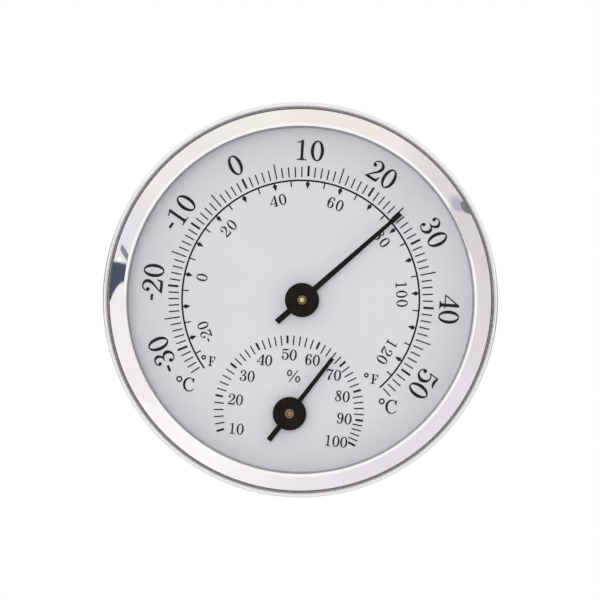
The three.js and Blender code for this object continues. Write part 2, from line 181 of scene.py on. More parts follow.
def groove_chrome():
    """The same plating round the groove, with painted shade in its colour: dark at the bottom of the
    groove, bright again on the bead, and a faint painted dark line at the very rim. Rougher, with
    random specks."""
    nodes = Nodes("bezel_groove_shade")
    dust = nodes.noise(0.8, 4)
    flat = nodes.add("ShaderNodeVectorMath", {0: nodes.place, 1: (1, 0, 1)}, operation="MULTIPLY")
    across = nodes.add("ShaderNodeVectorMath", {0: flat.outputs[0]}, operation="LENGTH")
    start, end = GROOVE_SHADE_TONES[0][0], GROOVE_SHADE_TONES[-1][0]
    place = nodes.between(across.outputs["Value"], 0, 1, start * MM, end * MM)
    tones = []
    for r, tone in GROOVE_SHADE_TONES:
        warmth = (1.0, 1.0, 1.0) if r in (start, end) else WARMTH
        tones.append(((r - start) / (end - start), [tone * share for share in warmth]))
    speck = nodes.colours(dust, (0.82, 0.82, 0.82), (1.0, 1.0, 1.0))
    nodes.set(Metallic=1.0)
    nodes.link(nodes.multiplied(nodes.ramp(place, tones), speck), "Base Color")
    nodes.link(nodes.between(dust, 0.12, 0.3), "Roughness")
    return nodes.material


def clear_lens():
    """Clear sheet: seen straight through, with a mirror share that grows with the slant."""
    nodes = Nodes("lens_clear")
    tree = nodes.tree
    haze = nodes.noise(6, 3)
    clear = nodes.add("ShaderNodeBsdfTransparent", {"Color": (0.985, 0.99, 0.99, 1)})
    rough, waves = nodes.between(haze, 0.015, 0.035), nodes.bump(haze, 0.002, 0.15)
    values = {"Color": (1, 1, 1, 1), "Roughness": rough, "Normal": waves}
    gloss = nodes.add("ShaderNodeBsdfGlossy", values)
    slant = nodes.add("ShaderNodeLayerWeight", {"Blend": 0.5}).outputs["Facing"]
    steep = nodes.add("ShaderNodeMath", {0: slant, 1: 5.0}, operation="POWER").outputs[0]
    share = nodes.between(steep, 0.03, 1.0, 0.0, 1.0)
    values = {0: share, 1: clear.outputs[0], 2: gloss.outputs[0]}
    mix = nodes.add("ShaderNodeMixShader", values)
    out = next(n for n in tree.nodes if n.type == "OUTPUT_MATERIAL")
    tree.links.new(mix.outputs[0], out.inputs["Surface"])
    tree.nodes.remove(nodes.shader)
    return nodes.material


def moulded(name, low, high, roughness=0.42, spark=0.05):
    """Moulded plastic: a fine eroded texture, and colour that drifts a little."""
    nodes = Nodes(name)
    rough = (roughness - 0.06, roughness + 0.1)
    nodes.set(IOR=1.5)
    nodes.cover(nodes.noise(14, 2), low, high, nodes.noise(0.16, 3), rough, spark, 0.35)
    return nodes.material


def dial_paint():
    """Screen-printed pale grey paint: a fine even stipple and hardly any drift of colour."""
    nodes = Nodes("dial_face")
    drift = nodes.noise(22, 2)
    stipple = nodes.noise(0.22, 3)
    broad = nodes.colours(drift, DIAL_LOW, DIAL_HIGH)
    speck = nodes.colours(stipple, (0.965, 0.965, 0.965), (1.0, 1.0, 1.0))
    nodes.link(nodes.multiplied(broad, speck), "Base Color")
    nodes.set(Specular_IOR_Level=0.25)
    nodes.link(nodes.between(stipple, 0.55, 0.7), "Roughness")
    nodes.link(nodes.bump(stipple, 0.01, 0.25), "Normal")
    return nodes.material


def ink():
    """Printing ink: dense black with a slightly uneven cover."""
    nodes = Nodes("print_ink")
    spots = nodes.noise(0.3, 3)
    nodes.set(Specular_IOR_Level=0.2)
    dense, thin = (0.008, 0.008, 0.01), (0.024, 0.024, 0.028)
    nodes.cover(spots, dense, thin, spots, (0.5, 0.68), 0.004, 0.3)
    return nodes.material


def black_paint():
    """Sprayed matt black on thin metal, with a fine grain."""
    nodes = Nodes("black_paint")
    nodes.set(Specular_IOR_Level=0.11)
    low, high = (0.007, 0.0055, 0.004), (0.013, 0.010, 0.0075)
    nodes.cover(nodes.noise(3, 2), low, high, nodes.noise(0.12, 3), (0.5, 0.72), 0.012, 0.3)
    return nodes.material


def turned_metal(name, low, high, roughness):
    """Turned metal: fine marks that run round, and slight tarnish."""
    nodes = Nodes(name)
    marks = nodes.noise(0.06, 2, (8, 8, 1))
    rough = (roughness - 0.08, roughness + 0.12)
    nodes.set(Metallic=1.0)
    nodes.cover(nodes.noise(1.1, 4), low, high, marks, rough, 0.006, 0.3)
    return nodes.material


def rolled_metal(name, low, high, roughness):
    """Rolled sheet or wire: long straight brush marks along X."""
    nodes = Nodes(name)
    brush = nodes.noise(0.08, 3, (40, 1, 1))
    rough = (roughness - 0.08, roughness + 0.12)
    nodes.set(Metallic=1.0)
    nodes.cover(nodes.noise(5, 4), low, high, brush, rough, 0.004, 0.3)
    return nodes.material


def rubber():
    nodes = Nodes("gasket_rubber")
    dust = nodes.noise(0.5, 4)
    nodes.cover(dust, (0.018, 0.018, 0.02), (0.04, 0.04, 0.043), dust, (0.7, 0.9), 0.02, 0.4)
    return nodes.material


def fibre_strip():
    """A metal strip with a moisture-sensitive layer: a fibrous, uneven tan coat."""
    nodes = Nodes("coil_hygroscopic")
    fibre = nodes.noise(0.12, 4, (1, 6, 1))
    low, high = (0.40, 0.22, 0.10), (0.52, 0.31, 0.16)
    nodes.cover(nodes.noise(1.6, 3), low, high, fibre, (0.6, 0.85), 0.02, 0.5)
    return nodes.material


def stage_paint():
    nodes = Nodes("stage_paint")
    nodes.set(Specular_IOR_Level=0.1)
    broad = nodes.noise(60, 2)
    nodes.link(nodes.colours(broad, (0.86, 0.86, 0.86), (0.89, 0.89, 0.89)), "Base Color")
    nodes.link(nodes.between(nodes.noise(2, 2), 0.7, 0.85), "Roughness")
    return nodes.material


DIAL_LOW = (0.735, 0.722, 0.764)
DIAL_HIGH = (0.760, 0.746, 0.788)
# Painted shade: the brightness painted into the plating at each radius in mm, from the band's edge
# across the groove to the rim, for the groove's shade. It is neutral at both ends, and between them a
# little warmer by these shares of red, green and blue.
WARMTH = (1.0, 0.99, 0.985)
GROOVE_SHADE_TONES = (
    (48.60, 0.82), (48.72, 0.56), (48.95, 0.41), (49.20, 0.42), (49.40, 0.56), (49.60, 0.74),
    (49.78, 0.92), (49.95, 1.00), (50.20, 1.00), (50.38, 0.80), (50.50, 0.92),
)

FINISHES = {
    "bezel_chrome": chrome(),
    "lens_clear": clear_lens(),
    "gasket_rubber": rubber(),
    # Painted shade: the spacer is white plastic, painted dark grey here so that it bounces less light
    # and the dial darkens towards its edge.
    "spacer_white": moulded("spacer_white", (0.38, 0.38, 0.39), (0.43, 0.43, 0.44), 0.5, 0.02),
    "case_white": moulded("case_white", (0.70, 0.70, 0.69), (0.76, 0.76, 0.75)),
    "dial_face": dial_paint(),
    "plate_steel": rolled_metal("plate_steel", (0.50, 0.50, 0.51), (0.60, 0.60, 0.61), 0.35),
    "frame_steel": rolled_metal("frame_steel", (0.46, 0.46, 0.47), (0.58, 0.58, 0.58), 0.3),
    "fastener_steel": turned_metal("fastener_steel", (0.42, 0.42, 0.43), (0.62, 0.62, 0.62), 0.28),
    "black_paint": black_paint(),
    "brass": turned_metal("brass", (0.30, 0.22, 0.11), (0.50, 0.37, 0.18), 0.36),
    "coil_bimetal": rolled_metal("coil_bimetal", (0.34, 0.30, 0.25), (0.50, 0.46, 0.40), 0.35),
    "coil_hygroscopic": fibre_strip(),
}
# The groove's plating, with painted shade in its colour.
GROOVE = groove_chrome()
INK = ink()
SPINDLE_ENDS = {
    "temperature": turned_metal("brass_bright", (0.80, 0.64, 0.34), (1.0, 0.90, 0.62), 0.2),
    "humidity": turned_metal("brass_dull", (0.30, 0.175, 0.08), (0.46, 0.28, 0.145), 0.42),
}
BOSS_FINISHES = {
    "temperature": FINISHES["brass"],
    "humidity": turned_metal("brass_brown", (0.42, 0.315, 0.235), (0.62, 0.48, 0.37), 0.4),
}


# ---------------------------------------------------------------- mesh building


def even_normals(made):
    """Large flat faces set the shading where they meet a fillet, so that they stay flat."""
    made.modifiers.new("even_normals", "WEIGHTED_NORMAL").keep_sharp = True


def piece(name, points, faces, body, slot, finish=None, sharp=32):
    """A closed mesh from (x, depth, z) points in mm, which rides on a CAD body if one is named."""
    mesh = bpy.data.meshes.new(name)
    mesh.from_pydata([(x * MM, -depth * MM, z * MM) for x, depth, z in points], [], faces)
    work = bmesh.new()
    work.from_mesh(mesh)
    bmesh.ops.recalc_face_normals(work, faces=work.faces)
    work.to_mesh(mesh)
    work.free()
    mesh.polygons.foreach_set("use_smooth", [True] * len(mesh.polygons))
    mesh.set_sharp_from_angle(angle=math.radians(sharp))
    mesh.materials.append(finish or FINISHES[slot])
    made = bpy.data.objects.new(name, mesh)
    bpy.context.scene.collection.objects.link(made)
    even_normals(made)
    if body:
        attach(made, body)
    return made


def filleted(corners, steps=4):
    """A closed outline of (a, b) or (a, b, fillet radius) corners, with the fillets drawn in."""
    outline = []
    for i, corner in enumerate(corners):
        point = Vector(corner[:2])
        if len(corner) < 3:
            outline.append(point)
            continue
        before = (Vector(corners[i - 1][:2]) - point).normalized()
        after = (Vector(corners[(i + 1) % len(corners)][:2]) - point).normalized()
        half = before.angle(after) / 2
        radius, inward = corner[2], (before + after).normalized()
        centre = point + inward * (radius / math.sin(half))
        reach = radius / math.tan(half)
        first = (point + before * reach - centre).normalized()
        last = (point + after * reach - centre).normalized()
        outline += [centre + first.slerp(last, k / steps) * radius for k in range(steps + 1)]
    return outline


def turned(outline, centre=(0, 0), segments=FINE_SEGMENTS):
    """Points and faces of an outline of (radius, depth) turned about the depth direction.
    The outline closes on itself, or starts and ends on the axis."""
    points, rings = [], []
    for radius, depth in outline:
        count = segments if radius > ON_AXIS else 1
        rings.append(range(len(points), len(points) + count))
        for k in range(count):
            angle = 2 * math.pi * k / segments
            x = centre[0] + radius * math.sin(angle)
            points.append((x, depth, centre[1] + radius * math.cos(angle)))
    faces = []
    for i, here in enumerate(rings):
        there = rings[(i + 1) % len(rings)]
        if len(here) == len(there) == 1:
            continue
        for k in range(segments):
            a, b = here[k % len(here)], here[(k + 1) % len(here)]
            c, d = there[(k + 1) % len(there)], there[k % len(there)]
            faces.append([v for j, v in enumerate((a, b, c, d)) if v not in (a, b, c, d)[:j]])
    return points, faces


def anticlockwise(outline):
    twice = sum(a[0] * b[1] - b[0] * a[1] for a, b in zip(outline, outline[1:] + outline[:1]))
    return outline if twice > 0 else outline[::-1]


def flat_union(outlines, holes=()):
    """The points and triangles that cover any outline and no hole."""
    points, rings = [], []
    for outline in [*outlines, *holes]:
        rings.append(list(range(len(points), len(points) + len(outline))))
        points += [Vector(p) for p in anticlockwise([tuple(p) for p in outline])]
    found, _, triangles, _, _, sources = delaunay_2d_cdt(points, [], rings, 1, SAME_POINT)
    kept = [
        list(t)
        for t, within in zip(triangles, sources)
        if within and all(k < len(outlines) for k in within)
    ]
    return found, kept


def slab(outlines, holes, back, front):
    """Points and faces of a flat plate between two depths, from outlines seen from the front."""
    flat, triangles = flat_union(outlines, holes)
    count = len(flat)
    points = [(p.x, front, p.y) for p in flat] + [(p.x, back, p.y) for p in flat]
    edges = {(t[i], t[(i + 1) % 3]) for t in triangles for i in range(3)}
    faces = triangles + [[v + count for v in reversed(t)] for t in triangles]
    faces += [[b, a, a + count, b + count] for a, b in sorted(edges) if (b, a) not in edges]
    used = sorted({v for f in faces for v in f})
    number = {v: i for i, v in enumerate(used)}
    return [points[v] for v in used], [[number[v] for v in f] for f in faces]


def circle(radius, centre=(0, 0), segments=SMALL_SEGMENTS):
    return [at_angle(radius, 360 * k / segments, centre) for k in range(segments)]


def at_angle(radius, degrees, centre=(0, 0)):
    """The (x, z) point at an angle clockwise from up."""
    turn = math.radians(degrees)
    return Vector((centre[0] + radius * math.sin(turn), centre[1] + radius * math.cos(turn)))


def round_edges(made, width, angle=40, segments=2):
    """A small real radius on every sharp edge."""
    bevel = made.modifiers.new("edges", "BEVEL")
    bevel.width = width * MM
    bevel.segments = segments
    bevel.limit_method = "ANGLE"
    bevel.angle_limit = math.radians(angle)
    bevel.use_clamp_overlap = True


# ---------------------------------------------------------------- bezel, lens, spacer, dial

LIP_BORE = 44.4
LIP_TOP = 21.95
LENS_CLEARANCE = 0.1
LENS_STEP_BORE = 46.4
LENS_STEP_DEPTH = 18.9
COLLAR_BORE = 47.6
SNAP_GROOVE_BORE = 48.1
SPACER_BORE = 44.1
ARBOR_HOLE = 1.7
BAND = {"inner": 45.12, "outer": 48.68, "top": 21.89, "fall": 1.0, "bulge": 0.07, "steps": 14}
# Corners as (radius, depth, fillet), from the groove over the bead.
BEAD = (
    (48.98, 20.45, 0.08), (49.16, 20.45, 0.08), (49.34, 20.78, 0.1),
    (49.78, 20.9, 0.3), (50.3, 20.6, 0.35),
)
GROOVED_FROM = 48.7
GROOVED_ABOVE = 20.2


def band():
    """The polished cone, very slightly bulged."""
    outline = []
    for k in range(BAND["steps"] + 1):
        t = k / BAND["steps"]
        r = BAND["inner"] + t * (BAND["outer"] - BAND["inner"])
        outline.append((r, BAND["top"] - BAND["fall"] * t + 4 * BAND["bulge"] * t * (1 - t)))
    return outline


def bezel():
    """Bright lip, polished conical band, groove, rounded bead, tapered skirt, snap groove and the
    step that the lens lies in."""
    _, back, _, radius = extent("bezel_ring")
    _, _, lens_front, _ = extent("lens")
    seat = lens_front + LENS_CLEARANCE
    shoulder = (BAND["inner"] - 0.02, BAND["top"] + 0.001)
    lip = [(LIP_BORE, seat), (LIP_BORE, LIP_TOP, 0.2), shoulder]
    skirt = [(radius, 19.9, 0.6), (radius, 18.5, 0.5), (radius - 0.6, back, 0.25)]
    bore = [
        (COLLAR_BORE, back, 0.1), (COLLAR_BORE, 13.9), (SNAP_GROOVE_BORE, 14.4),
        (SNAP_GROOVE_BORE, 15.6), (COLLAR_BORE, 16.1), (COLLAR_BORE, LENS_STEP_DEPTH),
        (LENS_STEP_BORE, LENS_STEP_DEPTH), (LENS_STEP_BORE, seat),
    ]
    points, faces = turned(filleted([*lip, *band(), *BEAD, *skirt, *bore]))
    made = piece("bezel", points, faces, "case", "bezel_chrome", sharp=30)
    # The groove and the bead take the plating with painted shade.
    made.data.materials.append(GROOVE)
    for face in made.data.polygons:
        middle = face.center / MM
        if math.hypot(middle.x, middle.z) > GROOVED_FROM and -middle.y > GROOVED_ABOVE:
            face.material_index = 1
    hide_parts("bezel_ring")


def lens():
    _, back, front, radius = extent("lens")
    outline = [(0, back), (radius, back, 0.2), (radius, front, 0.2), (0, front)]
    made = piece("lens_pane", *turned(filleted(outline)), "case", "lens_clear")
    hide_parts("lens")


def spacer():
    _, back, front, radius = extent("spacer_ring")
    corners = [
        (SPACER_BORE, back), (radius, back), (radius, front, 0.15), (SPACER_BORE, front, 0.2),
    ]
    # Its dark grey finish is painted shade for the dial's edge.
    made = piece("spacer", *turned(filleted(corners)), "case", "spacer_white")
    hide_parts("spacer_ring")


def dial():
    _, back, front, radius = extent("dial_plate")
    rim = circle(radius, segments=FINE_SEGMENTS)
    holes = [circle(ARBOR_HOLE, extent(f"{m}_arbor")[0], 48) for m in MOVEMENTS]
    made = piece("dial", *slab([rim], holes, back, front), "case", "dial_face")
    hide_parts("dial_plate")


# ---------------------------------------------------------------- numerals
# Each glyph is drawn in units of its height, with its foot at 0 and its middle at x = 0.
# A stroke is a smooth line of (x, y, width) points, a ball is (x, y, radius).


def smooth_line(points, samples=7):
    """A Catmull-Rom line through (x, y, width) points."""
    points = [np.array(p, float) for p in points]
    points = [2 * points[0] - points[1], *points, 2 * points[-1] - points[-2]]
    line = []
    for a, b, c, d in zip(points, points[1:], points[2:], points[3:]):
        for k in range(samples):
            t = k / samples
            line.append(
                0.5 * (2 * b + (c - a) * t + (2 * a - 5 * b + 4 * c - d) * t**2
                       + (3 * b - a - 3 * c + d) * t**3)
            )
    return [*line, points[-2]]


def stroke(*points):
    """The quads of a pen line whose width changes along it."""
    line = smooth_line(points) if len(points) > 2 else [np.array(p, float) for p in points]
    sides = []
    for i, here in enumerate(line):
        along = line[min(i + 1, len(line) - 1)][:2] - line[max(i - 1, 0)][:2]
        across = np.array([-along[1], along[0]]) / np.linalg.norm(along) * here[2] / 2
        sides.append((here[:2] - across, here[:2] + across))
    return [[a[0], b[0], b[1], a[1]] for a, b in zip(sides, sides[1:])]


BALL_SIDES = 14
BALL_STEP = 0.449


def ball(x, y, radius):
    turns = [k * BALL_STEP for k in range(BALL_SIDES)]
    return [[(x + radius * math.cos(t), y + radius * math.sin(t)) for t in turns]]


def oval(x, y, outer, inner, count=36):
    """A ring between two ellipses given as (half width, half height)."""
    turns = [2 * math.pi * k / count for k in range(count + 1)]
    rim = [(x + outer[0] * math.cos(t), y + outer[1] * math.sin(t)) for t in turns]
    well = [(x + inner[0] * math.cos(t), y + inner[1] * math.sin(t)) for t in turns]
    return [[a, b, d, c] for a, b, c, d in zip(rim, rim[1:], well, well[1:])]


def foot(x, half, stem, thick=0.045):
    """A bracketed foot serif."""
    s, out, up = stem / 2, 0.07, thick + 0.075
    return [
        [(x - half, 0), (x + half, 0), (x + half, thick), (x - half, thick)],
        [(x - s - out, thick), (x + s + out, thick), (x + s, up), (x - s, up)],
    ]


def six():
    return (
        oval(0.01, 0.295, (0.285, 0.305), (0.135, 0.255))
        + stroke((0.26, 0.83, 0.05), (0.19, 0.955, 0.05), (0.05, 0.99, 0.055), (-0.12, 0.88, 0.11),
                 (-0.205, 0.66, 0.155), (-0.215, 0.45, 0.165), (-0.2, 0.27, 0.15))
        + ball(0.2, 0.82, 0.075)
    )


def turned_over(polygons):
    return [[(-x, 1 - y) for x, y in polygon] for polygon in polygons]


GLYPHS = {
    "0": oval(0, 0.5, (0.325, 0.512), (0.172, 0.455), 48),
    "1": stroke((-0.26, 0.875, 0.045), (-0.12, 0.9, 0.05), (0.02, 0.975, 0.06))
    + [[(-0.065, 0.03), (0.065, 0.03), (0.065, 1.01), (0.03, 1.01), (-0.065, 0.95)]]
    + foot(0, 0.24, 0.13),
    "2": ball(-0.185, 0.71, 0.085)
    + stroke((-0.262, 0.70, 0.06), (-0.235, 0.86, 0.05), (-0.11, 0.965, 0.055), (0.05, 0.975, 0.075),
             (0.2, 0.85, 0.14), (0.215, 0.68, 0.15), (0.12, 0.5, 0.11), (-0.06, 0.32, 0.07),
             (-0.2, 0.17, 0.06), (-0.27, 0.07, 0.06))
    + stroke((-0.33, 0.035, 0.07), (-0.2, 0.06, 0.12), (0.0, 0.06, 0.125), (0.16, 0.06, 0.13),
             (0.27, 0.09, 0.11))
    + [[(0.18, 0.0), (0.29, 0.03), (0.335, 0.3), (0.3, 0.3), (0.2, 0.13)]],
    "3": ball(-0.19, 0.79, 0.08)
    + stroke((-0.262, 0.8, 0.05), (-0.2, 0.93, 0.05), (-0.04, 0.985, 0.055), (0.12, 0.92, 0.1),
             (0.18, 0.77, 0.135), (0.1, 0.6, 0.09), (-0.03, 0.535, 0.05), (-0.13, 0.52, 0.045))
    + stroke((-0.05, 0.525, 0.05), (0.09, 0.5, 0.07), (0.21, 0.38, 0.14), (0.215, 0.22, 0.155),
             (0.11, 0.065, 0.1), (-0.04, 0.015, 0.055), (-0.2, 0.06, 0.05), (-0.285, 0.2, 0.055))
    + ball(-0.21, 0.23, 0.085),
    "4": [[(0.1, 0.03), (0.25, 0.03), (0.25, 0.98), (0.2, 1.0), (0.1, 0.86)]]
    + foot(0.175, 0.2, 0.15)
    + stroke((0.2, 0.985, 0.06), (-0.325, 0.28, 0.055))
    + [[(-0.36, 0.255), (0.34, 0.255), (0.34, 0.305), (-0.33, 0.305)]],
    "5": stroke((-0.26, 0.975, 0.05), (-0.17, 0.94, 0.1), (-0.02, 0.915, 0.125), (0.12, 0.935, 0.11),
                (0.22, 0.98, 0.06), (0.27, 1.03, 0.03))
    + stroke((-0.24, 0.98, 0.05), (-0.265, 0.5, 0.05))
    + stroke((-0.262, 0.51, 0.045), (-0.18, 0.6, 0.05), (-0.02, 0.645, 0.06), (0.14, 0.58, 0.11),
             (0.235, 0.42, 0.16), (0.235, 0.24, 0.16), (0.12, 0.07, 0.1), (-0.04, 0.015, 0.055),
             (-0.2, 0.06, 0.05), (-0.29, 0.19, 0.055))
    + ball(-0.215, 0.235, 0.09),
    "6": six(),
    "7": stroke((-0.275, 0.7, 0.04), (-0.27, 1.0, 0.05))
    + stroke((-0.28, 0.88, 0.08), (-0.14, 0.93, 0.13), (0.03, 0.9, 0.14), (0.18, 0.91, 0.1),
             (0.31, 0.985, 0.04))
    + stroke((0.3, 0.98, 0.05), (0.17, 0.72, 0.07), (0.03, 0.45, 0.11), (-0.04, 0.2, 0.16),
             (-0.05, 0.0, 0.17)),
    "8": stroke((0.02, 0.985, 0.055), (-0.13, 0.9, 0.11), (-0.155, 0.76, 0.13), (-0.02, 0.59, 0.15),
                (0.15, 0.42, 0.16), (0.21, 0.24, 0.14), (0.12, 0.06, 0.08), (-0.02, 0.015, 0.055))
    + stroke((0.0, 0.985, 0.055), (0.14, 0.92, 0.075), (0.19, 0.78, 0.08), (0.09, 0.61, 0.055),
             (-0.12, 0.46, 0.055), (-0.235, 0.27, 0.1), (-0.16, 0.075, 0.085), (0.0, 0.015, 0.055)),
    "9": turned_over(six()),
    "-": [[(-0.15, 0.42), (0.15, 0.42), (0.15, 0.535), (-0.15, 0.535)]],
    "%": stroke((-0.33, -0.03, 0.07), (0.3, 1.0, 0.07))
    + oval(-0.37, 0.72, (0.21, 0.275), (0.1, 0.2), 28)
    + oval(0.37, 0.26, (0.21, 0.275), (0.1, 0.2), 28),
    "C": stroke((0.33, 0.72, 0.04), (0.27, 0.88, 0.05), (0.08, 0.98, 0.06), (-0.14, 0.93, 0.11),
                (-0.31, 0.72, 0.155), (-0.355, 0.5, 0.165), (-0.31, 0.27, 0.15), (-0.14, 0.06, 0.1),
                (0.07, 0.015, 0.06), (0.25, 0.07, 0.055), (0.385, 0.22, 0.04))
    + [[(0.29, 0.68), (0.36, 0.68), (0.35, 1.0), (0.29, 0.97), (0.2, 0.93)]],
    "F": [[(-0.2, 0.03), (-0.03, 0.03), (-0.03, 0.97), (-0.2, 0.97)]]
    + foot(-0.115, 0.22, 0.17)
    + [
        [(-0.335, 0.955), (0.35, 0.955), (0.35, 1.0), (-0.335, 1.0)],
        [(0.35, 1.0), (0.2, 0.96), (0.3, 0.7), (0.35, 0.7)],
        [(-0.05, 0.475), (0.14, 0.475), (0.14, 0.525), (-0.05, 0.525)],
        [(0.09, 0.5), (0.15, 0.36), (0.185, 0.36), (0.185, 0.64), (0.15, 0.64)],
    ],
}
MINUS_ADVANCE = 0.56


def lettering(text, height, advance, middle, turn=0.0):
    """The polygons of a line of glyphs, its middle at a point and turned clockwise."""
    pairs = zip(text, text[1:])
    steps = [MINUS_ADVANCE * height if "-" in pair else advance for pair in pairs]
    places = [sum(steps[:i]) for i in range(len(text))]
    offset = sum(steps) / 2
    turning = math.radians(turn)
    cos, sin = math.cos(turning), math.sin(turning)
    polygons = []
    for glyph, place in zip(text, places):
        for polygon in GLYPHS[glyph]:
            placed = []
            for x, y in polygon:
                across, up = x * height + place - offset, (y - 0.5) * height
                placed.append(
                    (middle[0] + across * cos + up * sin, middle[1] - across * sin + up * cos)
                )
            polygons.append(placed)
    return polygons


# ---------------------------------------------------------------- the print on the dial

PRINT_THICKNESS = 0.03
PRINT_SINK = 0.01
INK_GAIN = 0.03
# The dial lies behind the bezel's rim, so its print is drawn this much larger than it looks.
PRINT_SCALE = 1.005
TEMPERATURE_CENTRE = (0.06, 0.22)
HUMIDITY_CENTRE = (0.14, -28.42)


# The angle of 10 degrees Celsius, the angle of each further degree, and how that widens.
CELSIUS_SCALE = (-2.8, 2.969, 0.00165)
# Ticks are (inner radius, outer radius, width), and figures (height, advance, middle radius).
CELSIUS_TICKS = {"ten": (31.4, 34.05, 0.52), "five": (31.15, 35.1, 0.28), "one": (31.15, 33.75, 0.28)}
CELSIUS_FIGURES = (5.15, 3.9, 38.0)
FAHRENHEIT_TICK = (28.7, 30.3, 0.28)
FAHRENHEIT_FIGURES = (2.8, 2.35, 25.8)
HUMIDITY_TICKS = {"ten": (17.2, 19.13, 0.5), "two": (16.7, 19.13, 0.27)}


def celsius_angle(value):
    start, each, widening = CELSIUS_SCALE
    from_ten = value - 10
    return start + each * from_ten + widening * from_ten**2


def fahrenheit_angle(value):
    return celsius_angle((value - 32) / 1.8)


HUMIDITY_ANGLES = dict(
    zip(range(10, 101, 10), (-112.2, -84.3, -57.2, -32.1, -7.3, 18.0, 42.9, 67.8, 91.6, 111.75))
)


def humidity_angle(value):
    return float(np.interp(value, list(HUMIDITY_ANGLES), list(HUMIDITY_ANGLES.values())))


def bar(inner, outer, width, degrees, centre):
    """A straight tick along a radius."""
    along = at_angle(1, degrees)
    across = Vector((along.y, -along.x)) * width / 2
    a, b = at_angle(inner, degrees, centre), at_angle(outer, degrees, centre)
    return [a - across, a + across, b + across, b - across]


def arc(radius, width, first, last, centre, step=2.0):
    count = round((last - first) / step)
    angles = [first + (last - first) * k / count for k in range(count + 1)]
    rim = [at_angle(radius + width / 2, a, centre) for a in angles]
    well = [at_angle(radius - width / 2, a, centre) for a in angles]
    return [[a, b, d, c] for a, b, c, d in zip(rim, rim[1:], well, well[1:])]


def figures(value, turn, height, advance, radius):
    """A temperature written round the dial."""
    return lettering(str(value), height, advance, at_angle(radius, turn, TEMPERATURE_CENTRE), turn)


def celsius_print():
    centre = TEMPERATURE_CENTRE
    polygons = arc(30.3, 0.4, -132, 132, centre)
    for value in range(-34, 55):
        kind = "ten" if value % 10 == 0 else "five" if value % 5 == 0 else "one"
        polygons.append(bar(*CELSIUS_TICKS[kind], celsius_angle(value), centre))
    for value in range(-30, 51, 10):
        polygons += figures(value, celsius_angle(value), *CELSIUS_FIGURES)
    return polygons


def fahrenheit_print():
    centre = TEMPERATURE_CENTRE
    polygons = []
    for value in range(-20, 121, 10):
        turn = fahrenheit_angle(value)
        across = Vector(at_angle(0.55, turn + 90))
        wide = at_angle(29.5, turn, centre)
        tip, top = at_angle(28.2, turn, centre), at_angle(30.15, turn, centre)
        polygons.append([tip, wide + across, top, wide - across])
    for value in range(-25, 126, 10):
        polygons.append(bar(*FAHRENHEIT_TICK, fahrenheit_angle(value), centre))
    for value in range(-20, 121, 20):
        polygons += figures(value, fahrenheit_angle(value), *FAHRENHEIT_FIGURES)
    return polygons


def unit_print():
    """A degree ring with a C or an F, upright at both ends of the scale."""
    polygons = []
    for letter, x, z, height, ring_x, ring_z, ring_radius in (
        ("C", 26.0, -24.8, 3.45, -2.58, 1.11, 0.765),
        ("F", 20.9, -18.3, 2.45, -2.1, 0.8, 0.595),
    ):
        for side in (-1, 1):
            middle = (TEMPERATURE_CENTRE[0] + side * x, TEMPERATURE_CENTRE[1] + z)
            polygons += lettering(letter, height, 0, middle)
            place = (middle[0] + ring_x, middle[1] + ring_z)
            polygons += oval(*place, (ring_radius,) * 2, (ring_radius - 0.33,) * 2)
    return polygons


def humidity_print():
    centre = HUMIDITY_CENTRE
    polygons = []
    for value in range(10, 101, 2):
        kind = "ten" if value % 10 == 0 else "two"
        polygons.append(bar(*HUMIDITY_TICKS[kind], humidity_angle(value), centre))
    places = {
        10: (-12.8, -6.1), 20: (-13.8, 1.3), 30: (-11.5, 7.6), 40: (-7.5, 12.15), 50: (-1.4, 14.2),
        60: (4.6, 13.5), 70: (10.4, 10.3), 80: (13.2, 5.1), 90: (14.3, -0.5), 100: (12.85, -6.5),
    }
    for value, (x, z) in places.items():
        polygons += lettering(str(value), 2.75, 2.0, (centre[0] + x, centre[1] + z))
    polygons += lettering("%", 3.0, 0, (centre[0] + 0.27, centre[1] + 8.9))
    return polygons


def spread(polygon, gain):
    """A convex outline with every side moved out by the ink's gain."""
    corners = [Vector(p) for p in anticlockwise([tuple(p) for p in polygon])]
    corners = [p for i, p in enumerate(corners) if (p - corners[i - 1]).length > 1e-4]
    sides = [(b - a).normalized() for a, b in zip(corners, corners[1:] + corners[:1])]
    grown = []
    for corner, before, after in zip(corners, sides[-1:] + sides, sides):
        out = Vector((before.y, -before.x)) + Vector((after.y, -after.x))
        grown.append(corner + out * (gain / max(0.5, out.length_squared / 2)))
    return grown


def dial_print():
    """All the ink on the dial, as one thin layer."""
    _, _, face, _ = extent("dial_plate")
    polygons = celsius_print() + fahrenheit_print() + unit_print() + humidity_print()
    grown = [[p * PRINT_SCALE for p in spread(polygon, INK_GAIN)] for polygon in polygons]
    points, faces = slab(grown, [], face - PRINT_SINK, face + PRINT_THICKNESS)
    piece("dial_print", points, faces, "case", "black_paint", INK)


# ---------------------------------------------------------------- pointers

POINTERS = {
    "temperature": {
        "hub": 4.4, "length": 33.6, "tail": 8.6, "tail_half": 0.78, "blade_half": 0.8,
        "neck": 30.2, "neck_half": 0.5, "tip_half": 0.65, "reading": 42.5,
    },
    "humidity": {
        "hub": 4.3, "length": 18.0, "tail": 8.65, "tail_half": 0.69, "blade_half": 0.625,
        "neck": 16.4, "neck_half": 0.52, "tip_half": 0.52, "reading": 31.6,
    },
}
BOSS_RADIUS = 1.1
BOSS_BORE = 0.85
BOSS_FOOT_RADIUS = 1.5
FLANGE_RADIUS = 2.0
# How far the flange's back and front lie behind the pointer.
FLANGE_BEHIND = (0.6, 0.1)
HUB_CLEARANCE = 0.1
TIP_RISE = 0.3
POINTER_EDGE = 0.07
# The end of each arbor, from its edge to its middle: share of the radius, depth below the front.
SPINDLE_FORMS = {
    "temperature": ((1, 0.3), (0.9, 0.15), (0.72, 0.06), (0.4, 0.015), (0, 0)),
    "humidity": ((1, 0.1), (0.88, 0.02), (0.7, 0), (0.45, 0.03), (0.2, 0.16), (0, 0.2)),
}


